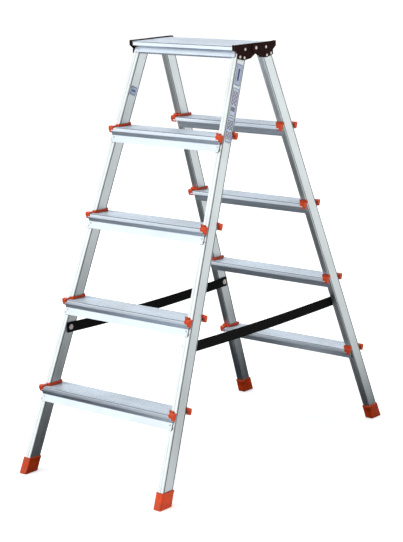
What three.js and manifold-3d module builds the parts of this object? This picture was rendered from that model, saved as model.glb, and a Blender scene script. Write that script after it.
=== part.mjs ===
// Double-sided step ladder: two leaning aluminium frames with four treads each, hinged together under a
// two-part top platform and held at their opening by a webbing strap on each side.
// Millimetres, +Z up. The origin is on the floor under the middle of the ladder; +X is its right-hand side
// and -Y its front. The rear frame is the front frame turned half round about Z.
import * as THREE from 'three';
import { mergeVertices } from 'three/addons/utils/BufferGeometryUtils.js';
import Module from 'manifold-3d';

const wasm = await Module();
wasm.setup();

// ---- Driving dimensions ----------------------------------------------------------------------------
const TREAD_COUNT = 4; // treads on each side, below the platform
const FIRST_RISE = 244; // floor to the top of the lowest tread
const RISE = 238.5; // from one tread to the next, and from the last tread to the platform
const BASE_HALF_DEPTH = 533; // middle plane to a frame's outer face, at the floor
const TOP_HALF_DEPTH = 67; // the same at platform level
const BASE_HALF_WIDTH = 263; // middle plane to a stile's outer face, at the floor
const TOP_HALF_WIDTH = 186.5; // the same at platform level
const CLEARANCE = 0.3; // gap between pieces that rest on or fit into each other

const STILE_DEPTH = 40;
const STILE_WIDTH = 20;
const STILE_WALL = 1.8;
const STILE_CORNER = 1.6; // outer corner radius
const STILE_GROOVE_INSET = 3.2; // from a stile's front or back face to the middle of the groove in its side
const STILE_GROOVE_WIDTH = 2.4;
const STILE_GROOVE_DEPTH = 1.1;

const TREAD_DEPTH = 78;
const TREAD_NOSE = 18; // how far a tread's nose stands in front of the frame's outer face
const TREAD_PLATE = 2.4; // thickness of the tread's top
const TREAD_WALL = 2.2; // thickness of the nose, tail and skirts
const TREAD_LIP = 11; // height of the nose and of the tail
const TREAD_LIP_RADIUS = 3.5;
const TREAD_BAND = 23; // depth below the tread's top at which the front skirt starts
const FRONT_SKIRT = 42; // depth of the front skirt's lower edge
const REAR_SKIRT = 34; // depth of the rear skirt's lower edge
const TREAD_STIFFENER = 12; // depth of the rib under the middle of the tread
const TREAD_END_INSET = 5; // from a stile's outer face to the end of a tread
const GRIP_PITCH = 6; // anti-slip grooves along the top
const GRIP_GROOVE = 2.4;
const GRIP_DEPTH = 0.9;
const GRIP_MARGIN = 7; // plain edge in front of and behind the grooves

const CAP_OVERHANG = 3; // how far a tread's end caps stand outside the stile
const CAP_SHELL = 1.3; // how far a cap stands in front of the nose and behind the tail
const CAP_WIDTH = 16; // width of a cap's two end blocks, along the tread
const CAP_BLOCK_DEPTH = 12; // depth of an end block, from front to back
const CAP_RISE = 3.5; // height of the end blocks above the tread
const CAP_DROP = 15.5; // depth of their lowest edge below the tread's top
const CAP_RADIUS = 3.5;
const CAP_RAIL_THICKNESS = 2.5; // rails that join the end blocks round the stile
const CAP_RAIL_RISE = 6.5; // height of the rail on the stile's inner side
const CAP_SILL_RISE = 2.4; // height of the rail across the stile's outer face
const CAP_COLLAR_RISE = 8; // height of the rail behind the stile
const CAP_KNOB_RADIUS = 2.2; // round posts at the ends of the inner rail
const CAP_KNOB_RISE = 8.8;

const PLATFORM_NOSE = 23.5; // how far the platform's nose stands in front of the frame's outer face
const PLATFORM_GAP = 1.5; // middle plane to the inner edge of each half platform
const PLATFORM_PLATE = 3;
const PLATFORM_SKIRT = 30; // depth of the skirt's lower edge below the platform's top
const PLATFORM_HEM = 5; // height of the slanted hem under the skirt
const PLATFORM_HEM_INSET = 5;
const PLATFORM_RIB = 5; // height of the rib under the inner edge
const PLATFORM_RIB_INSET = 14; // from the platform's end to the end of the rib, clear of the pivot

const PLATE_THICKNESS = 2.2; // hinge plates
const PLATE_RISE = 3.5; // how far the hinge plates stand above the platform
const PLATE_TOE_PROUD = 0.5; // how far a plate's front edge stands in front of the platform's nose
const PLATE_TOE_DROP = 12; // depth below the platform at which that edge ends
const PLATE_SHOULDER = [4, 21]; // [in front of the stile, depth below the platform] of the outline's step
const PLATE_HEEL_DROP = 34; // depth of the corner at the stile's outer face
const PLATE_BELLY = [9, 41]; // [in front of the stile's inner face, depth] of the lowest point
const PLATE_TAIL = [20, 38]; // [from the middle plane, depth] of the lobe beside the notch
const PLATE_NOTCH_DROP = 27; // depth of the notch's top
const PLATE_LOBE = 15; // radius of the lobe round the pivot
const PLATE_FLANGE = 6; // width of the return flange round the platform's nose
const PIVOT_DROP = 10; // from the platform down to the pivot's axis
const PIVOT_RADIUS = 4;
const PIVOT_HEAD_RADIUS = 5.4;
const PIVOT_HEAD = 2.6;
const PIVOT_TAIL_RADIUS = 5.2;
const PIVOT_TAIL = 2;

const RIVET_RADIUS = 2.4;
const RIVET_HEAD_RADIUS = 4.4;
const RIVET_HEAD = 1.8;
const RIVET_TAIL_RADIUS = 3.6;
const RIVET_TAIL_TIP_RADIUS = 2.5;
const RIVET_TAIL = 2.4;
// A hinge plate's rivets: [from the stile's middle line towards the outside, depth below the platform].
const HINGE_RIVETS = [[-4, 11], [12, 30], [-9, 34]];

const STRAP_WIDTH = 30;
const STRAP_THICKNESS = 1.8;
const STRAP_HEIGHT = 402; // centre line of the strap at its rivets
const STRAP_SAG = 6;
const STRAP_END = 13; // from the rivet to the end of the strap
const STRAP_HOLE_RADIUS = 3;
const WASHER_RADIUS = 8;
const WASHER_THICKNESS = 1.2;

const FOOT_WALL = 2.8;
const FOOT_SOLE = 5;
const FOOT_LENGTH = 42; // height of the shoe along the stile's outer face
const FOOT_RADIUS = 3;

// ---- Derived sizes ---------------------------------------------------------------------------------
const PLATFORM_Z = FIRST_RISE + TREAD_COUNT * RISE;
const PIVOT_Z = PLATFORM_Z - PIVOT_DROP;
const LEAN = Math.atan((BASE_HALF_DEPTH - TOP_HALF_DEPTH) / PLATFORM_Z);
const FRAME_LENGTH = PLATFORM_Z / Math.cos(LEAN); // floor to platform level, along the frame
const SPLAY = Math.atan((BASE_HALF_WIDTH - TOP_HALF_WIDTH) / FRAME_LENGTH);
const LEVEL_DEPTH = STILE_DEPTH / Math.cos(LEAN); // a stile's depth and width, measured level
const LEVEL_WIDTH = STILE_WIDTH / Math.cos(SPLAY);
const LEVEL_CLEARANCE = CLEARANCE / Math.cos(LEAN);
const LEVEL_WALL = TREAD_WALL / Math.cos(LEAN);
const PLATFORM_HALF_DEPTH = TOP_HALF_DEPTH + PLATFORM_NOSE;

const treadHeight = (number) => FIRST_RISE + (number - 1) * RISE;
// Distance from the middle plane to a frame's outer face, and to a stile's outer face, at height z.
const frameY = (z) => BASE_HALF_DEPTH - z * Math.tan(LEAN);
const narrowing = (BASE_HALF_WIDTH - TOP_HALF_WIDTH) / PLATFORM_Z;
const stileX = (z) => BASE_HALF_WIDTH - z * narrowing;
// A stile's side faces also turn slightly from front to back. This is its outer face at height z, at a
// level distance behind the frame's outer face, and the shift in x over its whole depth.
const sideTurn = Math.tan(SPLAY) * Math.sin(LEAN);
const stileSideX = (behind, z) => stileX(z) - behind * sideTurn;
const SIDE_SHIFT = LEVEL_DEPTH * sideTurn;
const LEVEL_STILE_WALL = STILE_WALL / Math.cos(SPLAY);
// How far a stile's wall leans in x across half a rivet's tail.
const TAIL_TILT = (RIVET_TAIL_RADIUS * Math.tan(SPLAY)) / Math.cos(LEAN);

// ---- Materials -------------------------------------------------------------------------------------
const material = (color, roughness, metalness) => (
  new THREE.MeshStandardMaterial({ color, roughness, metalness })
);
const aluminium = material('#c3ccd0', 0.38, 1);
const treadAluminium = material('#c9d6e2', 0.42, 1);
const capPlastic = material('#d2391c', 0.45, 0);
const hingeSteel = material('#2a1d18', 0.5, 0.3);
const rivetSteel = material('#b9a79a', 0.35, 1);
const webbing = material('#0c0b0a', 0.9, 0);

// ---- Solids ----------------------------------------------------------------------------------------
function solidOf(geometry, matrix = new THREE.Matrix4()) {
  const bare = geometry.clone().applyMatrix4(matrix);
  bare.deleteAttribute('normal');
  bare.deleteAttribute('uv');
  const merged = mergeVertices(bare, 1e-4);
  return new wasm.Manifold(new wasm.Mesh({
    numProp: 3,
    vertProperties: Float32Array.from(merged.attributes.position.array),
    triVerts: Uint32Array.from(merged.index.array),
  }));
}

function meshOf(name, solid, meshMaterial) {
  const { vertProperties, triVerts } = solid.getMesh();
  const geometry = new THREE.BufferGeometry();
  geometry.setAttribute('position', new THREE.BufferAttribute(vertProperties, 3));
  geometry.setIndex(new THREE.BufferAttribute(triVerts, 1));
  geometry.computeVertexNormals();
  const mesh = new THREE.Mesh(geometry, meshMaterial);
  mesh.name = name;
  return mesh;
}

const box = (x, y, z) => solidOf(
  new THREE.BoxGeometry(x[1] - x[0], y[1] - y[0], z[1] - z[0]),
  new THREE.Matrix4().makeTranslation((x[0] + x[1]) / 2, (y[0] + y[1]) / 2, (z[0] + z[1]) / 2),
);

// A shape drawn in (y, z), extruded along x.
const ALONG_X = new THREE.Matrix4().makeBasis(
  new THREE.Vector3(0, 1, 0), new THREE.Vector3(0, 0, 1), new THREE.Vector3(1, 0, 0),
);
function prismX(shape, from, to, curveSegments = 4) {
  const geometry = new THREE.ExtrudeGeometry(shape, { depth: to - from, bevelEnabled: false, curveSegments });
  return solidOf(geometry, new THREE.Matrix4().makeTranslation(from, 0, 0).multiply(ALONG_X));
}

const outline = (points) => new THREE.Shape(points.map(([a, b]) => new THREE.Vector2(a, b)));

// A turned piece on the x axis, from [x, radius] pairs; the first and last points lie on the axis.
const TURNED = new THREE.Matrix4().makeRotationZ(-Math.PI / 2);
const turned = (points, segments) => solidOf(
  new THREE.LatheGeometry(points.map(([x, radius]) => new THREE.Vector2(radius, x)), segments), TURNED,
);

// A rod along x, reaching the given length to each side of the middle.
const rodX = (radius, length) => turned(
  [[-length, 0], [-length, radius], [length, radius], [length, 0]], 16,
);

// The profile of a domed head that stands on x = base; a negative height turns it the other way.
const DOME_SHOULDER = [0.6, 0.82]; // shares of the dome's height and radius
const DOME_CROWN = 0.42;
const dome = (base, height, radius) => [
  [base, radius],
  [base + DOME_SHOULDER[0] * height, DOME_SHOULDER[1] * radius],
  [base + height, DOME_CROWN * radius],
  [base + height, 0],
];

// The profile of a rivet's upset tail that starts at x = base and swells towards +x or -x.
const rivetTail = (base, towards) => [
  [base, RIVET_RADIUS],
  [base + (towards * RIVET_TAIL) / 2, RIVET_TAIL_RADIUS],
  [base + towards * RIVET_TAIL, RIVET_TAIL_TIP_RADIUS],
  [base + towards * RIVET_TAIL, 0],
];

const mirrorX = (solid, side) => (side > 0 ? solid : solid.mirror([1, 0, 0]));

// ---- Stiles ----------------------------------------------------------------------------------------
// A rounded rectangle, x from 0 to -width and y from 0 to depth, grown outwards by margin.
function roundedSection(width, depth, margin, radius) {
  const [x0, x1, y0, y1] = [-width - margin, margin, -margin, depth + margin];
  const shape = new THREE.Shape();
  shape.moveTo(x0 + radius, y0);
  shape.lineTo(x1 - radius, y0);
  shape.absarc(x1 - radius, y0 + radius, radius, -Math.PI / 2, 0);
  shape.lineTo(x1, y1 - radius);
  shape.absarc(x1 - radius, y1 - radius, radius, 0, Math.PI / 2);
  shape.lineTo(x0 + radius, y1);
  shape.absarc(x0 + radius, y1 - radius, radius, Math.PI / 2, Math.PI);
  shape.lineTo(x0, y0 + radius);
  shape.absarc(x0 + radius, y0 + radius, radius, Math.PI, 1.5 * Math.PI);
  return shape;
}

// The right-hand stile's own frame: its outer front edge is the z axis, starting on the floor.
const STILE_FRAME = new THREE.Matrix4()
  .makeTranslation(BASE_HALF_WIDTH, -BASE_HALF_DEPTH, 0)
  .multiply(new THREE.Matrix4().makeRotationX(-LEAN))
  .multiply(new THREE.Matrix4().makeRotationY(-SPLAY));

function stilePrism(shape, from, to, curveSegments = 3) {
  const geometry = new THREE.ExtrudeGeometry(shape, { depth: to - from, bevelEnabled: false, curveSegments });
  return solidOf(geometry, STILE_FRAME.clone().multiply(new THREE.Matrix4().makeTranslation(0, 0, from)));
}

const OVERRUN = 80; // extra length of a blank that is trimmed level
const blankLength = FRAME_LENGTH / Math.cos(SPLAY) + OVERRUN;
const stileBlank = (margin) => stilePrism(
  roundedSection(STILE_WIDTH, STILE_DEPTH, margin, STILE_CORNER + margin), -OVERRUN, blankLength,
);
// The space that a stile takes up, with the clearance round it.
const stileSpace = stileBlank(CLEARANCE);

function stileGroove(x, y) {
  const half = STILE_GROOVE_WIDTH / 2;
  const inwards = x === 0 ? -STILE_GROOVE_DEPTH : STILE_GROOVE_DEPTH;
  const outwards = x - inwards / 4;
  const vee = outline([[outwards, y - half], [x + inwards, y], [outwards, y + half]]);
  return stilePrism(vee, -OVERRUN, blankLength);
}

const stileTop = PLATFORM_Z - PLATFORM_PLATE - CLEARANCE;
const stileMiddleY = (z) => frameY(z) - LEVEL_DEPTH / 2;
const hingeRivetPlaces = HINGE_RIVETS.map(([offset, drop]) => {
  const z = PLATFORM_Z - drop;
  return [-(stileMiddleY(z) + offset), z];
});
const strapRivetPlace = [-stileMiddleY(STRAP_HEIGHT), STRAP_HEIGHT];

function makeStile() {
  const section = roundedSection(STILE_WIDTH, STILE_DEPTH, 0, STILE_CORNER);
  section.holes.push(roundedSection(STILE_WIDTH, STILE_DEPTH, -STILE_WALL, STILE_CORNER / 2));
  let stile = stilePrism(section, -OVERRUN, blankLength);
  for (const x of [0, -STILE_WIDTH]) {
    for (const y of [STILE_GROOVE_INSET, STILE_DEPTH - STILE_GROOVE_INSET]) {
      stile = stile.subtract(stileGroove(x, y));
    }
  }
  const reach = BASE_HALF_WIDTH + BASE_HALF_DEPTH;
  stile = stile.intersect(box([0, reach], [-reach, reach], [FOOT_SOLE, stileTop]));
  const drill = rodX(RIVET_RADIUS + CLEARANCE / 2, STILE_WIDTH / 2);
  for (const [y, z] of hingeRivetPlaces) {
    stile = stile.subtract(drill.translate([stileX(z), y, z]));
  }
  const [strapY, strapZ] = strapRivetPlace;
  return stile.subtract(drill.translate([stileX(strapZ) - LEVEL_WIDTH, strapY, strapZ]));
}

// ---- Feet ------------------------------------------------------------------------------------------
function makeFoot() {
  const margin = CLEARANCE + FOOT_WALL;
  const section = roundedSection(STILE_WIDTH, STILE_DEPTH, margin, FOOT_RADIUS);
  const shoe = stilePrism(section, -OVERRUN, FOOT_LENGTH);
  const reach = BASE_HALF_WIDTH + BASE_HALF_DEPTH;
  const aboveFloor = box([0, reach], [-reach, reach], [0, reach]);
  const aboveSole = box([0, reach], [-reach, reach], [FOOT_SOLE - CLEARANCE, reach]);
  return shoe.intersect(aboveFloor).subtract(stileSpace.intersect(aboveSole));
}

// ---- Treads ----------------------------------------------------------------------------------------
// Tread profiles are drawn in (y, z) from the point where the frame's outer face meets the tread's top.
const tanLean = Math.tan(LEAN);
const frontSkirtInner = (z) => z * tanLean - LEVEL_CLEARANCE;
const frontSkirtOuter = (z) => frontSkirtInner(z) - LEVEL_WALL;
const rearSkirtInner = (z) => z * tanLean + LEVEL_DEPTH + LEVEL_CLEARANCE;
const rearSkirtOuter = (z) => rearSkirtInner(z) + LEVEL_WALL;
const TREAD_TAIL = TREAD_DEPTH - TREAD_NOSE;

// Points of a flat top between y = from and y = to, with anti-slip grooves cut into it.
function gripTop(from, to) {
  const count = Math.floor((to - from - 2 * GRIP_MARGIN) / GRIP_PITCH) + 1;
  const first = (from + to - (count - 1) * GRIP_PITCH) / 2;
  return Array.from({ length: count }, (_, i) => first + i * GRIP_PITCH).flatMap((middle) => [
    [middle - GRIP_GROOVE / 2, 0],
    [middle - GRIP_GROOVE / 4, -GRIP_DEPTH],
    [middle + GRIP_GROOVE / 4, -GRIP_DEPTH],
    [middle + GRIP_GROOVE / 2, 0],
  ]);
}

const QUARTER = Math.PI / 2;
function arcPoints(y, z, radius, from, to, steps = 3) {
  return Array.from({ length: steps + 1 }, (_, i) => {
    const angle = from + ((to - from) * i) / steps;
    return [y + radius * Math.cos(angle), z + radius * Math.sin(angle)];
  });
}

// A lip's two rounded upper corners.
const noseCorner = (nose) => (
  arcPoints(nose + TREAD_LIP_RADIUS, -TREAD_LIP_RADIUS, TREAD_LIP_RADIUS, 2 * QUARTER, QUARTER)
);
const tailCorner = (tail) => (
  arcPoints(tail - TREAD_LIP_RADIUS, -TREAD_LIP_RADIUS, TREAD_LIP_RADIUS, QUARTER, 0)
);

function treadShape() {
  const nose = -TREAD_NOSE;
  const tail = TREAD_TAIL;
  const rib = (nose + tail) / 2;
  const shape = outline([
    ...noseCorner(nose),
    ...gripTop(nose, tail),
    ...tailCorner(tail),
    [tail, -TREAD_LIP],
    [rearSkirtOuter(-TREAD_LIP), -TREAD_LIP],
    [rearSkirtOuter(-REAR_SKIRT), -REAR_SKIRT],
    [rearSkirtInner(-REAR_SKIRT), -REAR_SKIRT],
    [rearSkirtInner(-TREAD_PLATE), -TREAD_PLATE],
    [rib + TREAD_WALL / 2, -TREAD_PLATE],
    [rib + TREAD_WALL / 2, -TREAD_STIFFENER],
    [rib - TREAD_WALL / 2, -TREAD_STIFFENER],
    [rib - TREAD_WALL / 2, -TREAD_PLATE],
    [frontSkirtInner(-TREAD_PLATE), -TREAD_PLATE],
    [frontSkirtInner(-FRONT_SKIRT), -FRONT_SKIRT],
    [frontSkirtOuter(-FRONT_SKIRT), -FRONT_SKIRT],
    [frontSkirtOuter(-TREAD_BAND), -TREAD_BAND],
    [nose, -TREAD_LIP],
  ].reverse());
  // The open-ended chambers in the nose and in the tail.
  const ceiling = -TREAD_PLATE - GRIP_DEPTH;
  const floor = -TREAD_LIP + TREAD_WALL;
  const noseChamber = outline([
    [nose + TREAD_WALL, ceiling], [frontSkirtOuter(ceiling), ceiling],
    [frontSkirtOuter(floor), floor], [nose + TREAD_WALL, floor],
  ]);
  const tailChamber = outline([
    [rearSkirtOuter(ceiling), ceiling], [tail - TREAD_WALL, ceiling],
    [tail - TREAD_WALL, floor], [rearSkirtOuter(floor), floor],
  ]);
  shape.holes.push(noseChamber, tailChamber);
  return shape;
}

const bothStiles = (stile) => stile.add(mirrorX(stile, -1));

// One extrusion from side to side, notched round both stiles.
function makeTread(z) {
  const end = stileX(z) - TREAD_END_INSET;
  return prismX(treadShape(), -end, end).translate([0, -frameY(z), z]).subtract(bothStiles(stileSpace));
}

// ---- Tread end caps --------------------------------------------------------------------------------
// An end block's profile: square shoulders towards the stile, rounded outside, narrowing downwards.
// It stands between y = inner, at the stile's side, and y = outer.
function capBlockShape(inner, outer) {
  const towards = Math.sign(outer - inner);
  const r = CAP_RADIUS;
  const corner = arcPoints(outer - towards * r, CAP_RISE - r, r, QUARTER, QUARTER - towards * QUARTER);
  const points = [
    [inner, CAP_RISE], ...corner, [outer, -TREAD_LIP / 2],
    [(inner + outer) / 2 + (towards * r) / 2, -CAP_DROP],
    [(inner + outer) / 2 - (towards * r) / 2, -CAP_DROP],
    [inner, -TREAD_LIP / 2],
  ];
  return outline(towards > 0 ? points.reverse() : points);
}

// The room that a tread takes up in front of and behind the stiles, with the clearance round it.
function treadRoom() {
  const nose = -TREAD_NOSE - CLEARANCE;
  const tail = TREAD_TAIL + CLEARANCE;
  const floor = -2 * FRONT_SKIRT;
  return outline([
    [nose, CLEARANCE], [nose, -TREAD_LIP - CLEARANCE],
    [frontSkirtOuter(-TREAD_BAND) - CLEARANCE, -TREAD_BAND - CLEARANCE],
    [frontSkirtOuter(floor) - CLEARANCE, floor],
    [rearSkirtOuter(floor) + CLEARANCE, floor],
    [rearSkirtOuter(-TREAD_LIP) + CLEARANCE, -TREAD_LIP - CLEARANCE],
    [tail, -TREAD_LIP - CLEARANCE], [tail, CLEARANCE],
  ]);
}

function makeCap(z) {
  const outer = stileX(z);
  const outside = outer + CAP_OVERHANG;
  const inside = outer - LEVEL_WIDTH - SIDE_SHIFT - CAP_RAIL_THICKNESS;
  const nose = -TREAD_NOSE - CAP_SHELL;
  const tail = TREAD_TAIL + CAP_SHELL;
  const sill = -LEVEL_CLEARANCE - CAP_RAIL_THICKNESS;
  const collar = CAP_COLLAR_RISE * tanLean + LEVEL_DEPTH + LEVEL_CLEARANCE + CAP_RAIL_THICKNESS;
  const block = (from, to) => prismX(capBlockShape(from, to), outside - CAP_WIDTH, outside);
  const knob = (y) => solidOf(
    new THREE.CylinderGeometry(CAP_KNOB_RADIUS, CAP_KNOB_RADIUS, CAP_KNOB_RISE - CLEARANCE, 10),
    new THREE.Matrix4().makeTranslation(inside + CAP_KNOB_RADIUS / 2, y, (CAP_KNOB_RISE + CLEARANCE) / 2)
      .multiply(new THREE.Matrix4().makeRotationX(QUARTER)),
  );
  const outsideRails = [outside - CAP_OVERHANG - TREAD_END_INSET + CLEARANCE, outside];
  return block(nose + CAP_BLOCK_DEPTH, nose)
    .add(block(tail - CAP_BLOCK_DEPTH, tail))
    .add(box([inside, outer - LEVEL_WIDTH / 2], [sill, collar], [CLEARANCE, CAP_RAIL_RISE]))
    .add(box([inside, outside], [sill, 0], [CLEARANCE, CAP_SILL_RISE]))
    .add(box([inside, outside], [LEVEL_DEPTH, collar], [CLEARANCE, CAP_COLLAR_RISE]))
    .add(box(outsideRails, [nose + CAP_RADIUS, 0], [CLEARANCE, CAP_SILL_RISE]))
    .add(box(outsideRails, [LEVEL_DEPTH, tail - CAP_RADIUS], [CLEARANCE, CAP_SILL_RISE]))
    .add(knob(sill + CAP_KNOB_RADIUS))
    .add(knob(collar - CAP_KNOB_RADIUS))
    .subtract(prismX(treadRoom(), 0, outer - TREAD_END_INSET + CLEARANCE))
    .translate([0, -frameY(z), z])
    .subtract(stileSpace);
}

// ---- Platform --------------------------------------------------------------------------------------
const plateInnerX = stileX(PLATFORM_Z - PLATE_BELLY[1]) + CLEARANCE; // inner face of the inner hinge plates
const platformEnd = plateInnerX - CLEARANCE;

function makePlatform() {
  const nose = -PLATFORM_NOSE;
  const inner = TOP_HALF_DEPTH - PLATFORM_GAP;
  const ceiling = -PLATFORM_PLATE - GRIP_DEPTH;
  const floor = -TREAD_LIP + TREAD_WALL;
  const top = outline([
    ...noseCorner(nose),
    ...gripTop(nose, inner),
    [inner, 0],
    [inner, -PLATFORM_PLATE],
    [frontSkirtOuter(-PLATFORM_PLATE), -PLATFORM_PLATE],
    [frontSkirtOuter(-TREAD_LIP), -TREAD_LIP],
    [nose, -TREAD_LIP],
  ].reverse());
  top.holes.push(outline([
    [nose + TREAD_WALL, ceiling], [frontSkirtOuter(ceiling) - TREAD_WALL, ceiling],
    [frontSkirtOuter(floor) - TREAD_WALL, floor], [nose + TREAD_WALL, floor],
  ]));
  const hem = -PLATFORM_SKIRT - PLATFORM_HEM;
  const overlap = -PLATFORM_PLATE / 2;
  const skirt = outline([
    [frontSkirtInner(overlap), overlap], [frontSkirtOuter(overlap), overlap],
    [frontSkirtOuter(-PLATFORM_SKIRT), -PLATFORM_SKIRT],
    [frontSkirtOuter(-PLATFORM_SKIRT) + PLATFORM_HEM_INSET, hem],
    [frontSkirtInner(-PLATFORM_SKIRT) + PLATFORM_HEM_INSET, hem],
    [frontSkirtInner(-PLATFORM_SKIRT), -PLATFORM_SKIRT],
  ]);
  const rib = box(
    [-platformEnd + PLATFORM_RIB_INSET, platformEnd - PLATFORM_RIB_INSET],
    [inner - TREAD_WALL, inner],
    [-PLATFORM_PLATE - PLATFORM_RIB, overlap],
  );
  const skirtEnd = stileX(PLATFORM_Z) - TREAD_END_INSET;
  const lengths = [BASE_HALF_WIDTH, BASE_HALF_DEPTH, PLATFORM_Z].map((length) => [-length, length]);
  const belowPlate = box(lengths[0], lengths[1], [0, stileTop + CLEARANCE]);
  return prismX(top, -platformEnd, platformEnd)
    .add(prismX(skirt, -skirtEnd, skirtEnd))
    .add(rib)
    .translate([0, -TOP_HALF_DEPTH, PLATFORM_Z])
    .subtract(bothStiles(stileSpace).intersect(belowPlate));
}

// ---- Hinge -----------------------------------------------------------------------------------------
// One plate's outline, from the platform's nose back to the pivot, in (y, z) with z from the platform's top.
function hingePlateShape() {
  const toe = -PLATFORM_HALF_DEPTH - PLATE_TOE_PROUD;
  const stileOuter = (drop) => -frameY(PLATFORM_Z - drop);
  const [shoulderProud, shoulderDrop] = PLATE_SHOULDER;
  const [bellyInset, bellyDrop] = PLATE_BELLY;
  const [tailOut, tailDrop] = PLATE_TAIL;
  return outline([
    [toe, PLATE_RISE],
    [toe, -PLATE_TOE_DROP],
    [stileOuter(shoulderDrop) - shoulderProud, -shoulderDrop],
    [stileOuter(PLATE_HEEL_DROP), -PLATE_HEEL_DROP],
    [stileOuter(bellyDrop) + LEVEL_DEPTH - bellyInset, -bellyDrop],
    [-tailOut, -tailDrop],
    [0, -PLATE_NOTCH_DROP],
    ...arcPoints(0, -PIVOT_DROP, PLATE_LOBE, -Math.PI / 3, Math.PI / 4, 5),
    [0, PLATE_RISE],
  ]);
}

// The front frame's plates lie inside the rear frame's, with the clearance between them at the pivot.
const plateFace = (outerLayer) => plateInnerX + (outerLayer ? PLATE_THICKNESS + CLEARANCE : 0);

function makeHingePlate(outerLayer) {
  const from = plateFace(outerLayer);
  const to = from + PLATE_THICKNESS;
  const toe = -PLATFORM_HALF_DEPTH - PLATE_TOE_PROUD;
  const flange = box(
    [platformEnd - PLATE_FLANGE, to], [toe - PLATE_THICKNESS, toe], [-PLATE_TOE_DROP, PLATE_RISE],
  );
  const drill = (radius, [y, z]) => rodX(radius + CLEARANCE / 2, 2 * to).translate([0, y, z]);
  const plate = prismX(hingePlateShape(), from, to).add(flange).translate([0, 0, PLATFORM_Z]);
  return hingeRivetPlaces.reduce(
    (drilled, place) => drilled.subtract(drill(RIVET_RADIUS, place)),
    plate.subtract(drill(PIVOT_RADIUS, [0, PIVOT_Z])),
  );
}

function makeHingeRivet(outerLayer, [y, z]) {
  const underHead = plateFace(outerLayer) + PLATE_THICKNESS + CLEARANCE;
  const inside = stileSideX(y + frameY(z), z) - LEVEL_STILE_WALL - TAIL_TILT - CLEARANCE;
  return turned([
    ...rivetTail(inside, -1).reverse(),
    [underHead, RIVET_RADIUS],
    ...dome(underHead, RIVET_HEAD, RIVET_HEAD_RADIUS),
  ], 12);
}

function makePivot() {
  const inside = plateInnerX - CLEARANCE;
  const outside = plateInnerX + 2 * PLATE_THICKNESS + 2 * CLEARANCE;
  return turned([
    [inside - PIVOT_TAIL, 0], [inside - PIVOT_TAIL, PIVOT_TAIL_RADIUS], [inside, PIVOT_TAIL_RADIUS],
    [inside, PIVOT_RADIUS], [outside, PIVOT_RADIUS],
    ...dome(outside, PIVOT_HEAD, PIVOT_HEAD_RADIUS),
  ], 20).translate([0, 0, PIVOT_Z]);
}

// ---- Straps ----------------------------------------------------------------------------------------
const strapTop = STRAP_HEIGHT + STRAP_WIDTH / 2;
const strapOuterX = stileX(strapTop) - LEVEL_WIDTH - SIDE_SHIFT - 2 * CLEARANCE;
const strapReach = stileMiddleY(STRAP_HEIGHT);

function makeStrap() {
  const steps = 12;
  const end = strapReach + STRAP_END;
  const edge = (offset) => Array.from({ length: steps + 1 }, (_, i) => {
    const y = -end + (2 * end * i) / steps;
    const along = Math.min(1, Math.abs(y) / strapReach);
    return [y, STRAP_HEIGHT + offset - STRAP_SAG * (1 - along * along)];
  });
  const band = outline([...edge(-STRAP_WIDTH / 2), ...edge(STRAP_WIDTH / 2).reverse()]);
  let strap = prismX(band, strapOuterX - STRAP_THICKNESS, strapOuterX);
  for (const side of [-1, 1]) {
    const hole = rodX(STRAP_HOLE_RADIUS, 2 * strapOuterX);
    strap = strap.subtract(hole.translate([0, side * strapReach, STRAP_HEIGHT]));
  }
  return strap;
}

// A rivet with a washer, through the strap into the stile's inner wall.
function makeStrapRivet() {
  const washerTo = strapOuterX - STRAP_THICKNESS - CLEARANCE;
  const washerFrom = washerTo - WASHER_THICKNESS;
  const [y, z] = strapRivetPlace;
  const innerFace = stileSideX(y + frameY(z), z) - LEVEL_WIDTH;
  const wallInside = innerFace + LEVEL_STILE_WALL + TAIL_TILT + CLEARANCE;
  return turned([
    ...dome(washerFrom, -RIVET_HEAD, RIVET_HEAD_RADIUS).reverse(),
    [washerFrom, WASHER_RADIUS], [washerTo, WASHER_RADIUS], [washerTo, RIVET_RADIUS],
    ...rivetTail(wallInside, 1),
  ], 16);
}

// ---- Assembly --------------------------------------------------------------------------------------
const sideName = (side) => (side > 0 ? 'right' : 'left');

// One leaning frame, built as the front one. The rear frame is turned half round, which swaps its sides.
function makeFrame(frameName, turnedRound) {
  const frame = new THREE.Group();
  frame.rotation.z = turnedRound ? Math.PI : 0;
  const stile = makeStile();
  const foot = makeFoot();
  const plate = makeHingePlate(turnedRound);
  const strapRivet = makeStrapRivet();
  const [strapY, strapZ] = strapRivetPlace;
  for (const side of [-1, 1]) {
    const place = sideName(turnedRound ? -side : side);
    frame.add(meshOf(`${frameName}_stile_${place}`, mirrorX(stile, side), aluminium));
    frame.add(meshOf(`${frameName}_foot_${place}`, mirrorX(foot, side), capPlastic));
    frame.add(meshOf(`${frameName}_hinge_plate_${place}`, mirrorX(plate, side), hingeSteel));
    hingeRivetPlaces.forEach(([y, z], index) => {
      const solid = mirrorX(makeHingeRivet(turnedRound, [y, z]), side);
      const rivet = meshOf(`${frameName}_hinge_rivet_${place}_${index + 1}`, solid, rivetSteel);
      rivet.position.set(0, y, z);
      frame.add(rivet);
    });
    const fastener = meshOf(`${frameName}_strap_rivet_${place}`, mirrorX(strapRivet, side), rivetSteel);
    fastener.position.set(0, strapY, strapZ);
    frame.add(fastener);
  }
  for (let number = 1; number <= TREAD_COUNT; number += 1) {
    const z = treadHeight(number);
    frame.add(meshOf(`${frameName}_tread_${number}`, makeTread(z), treadAluminium));
    const cap = makeCap(z);
    for (const side of [-1, 1]) {
      const place = sideName(turnedRound ? -side : side);
      frame.add(meshOf(`${frameName}_tread_${number}_cap_${place}`, mirrorX(cap, side), capPlastic));
    }
  }
  frame.add(meshOf(`${frameName}_platform`, makePlatform(), treadAluminium));
  return frame;
}

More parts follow.
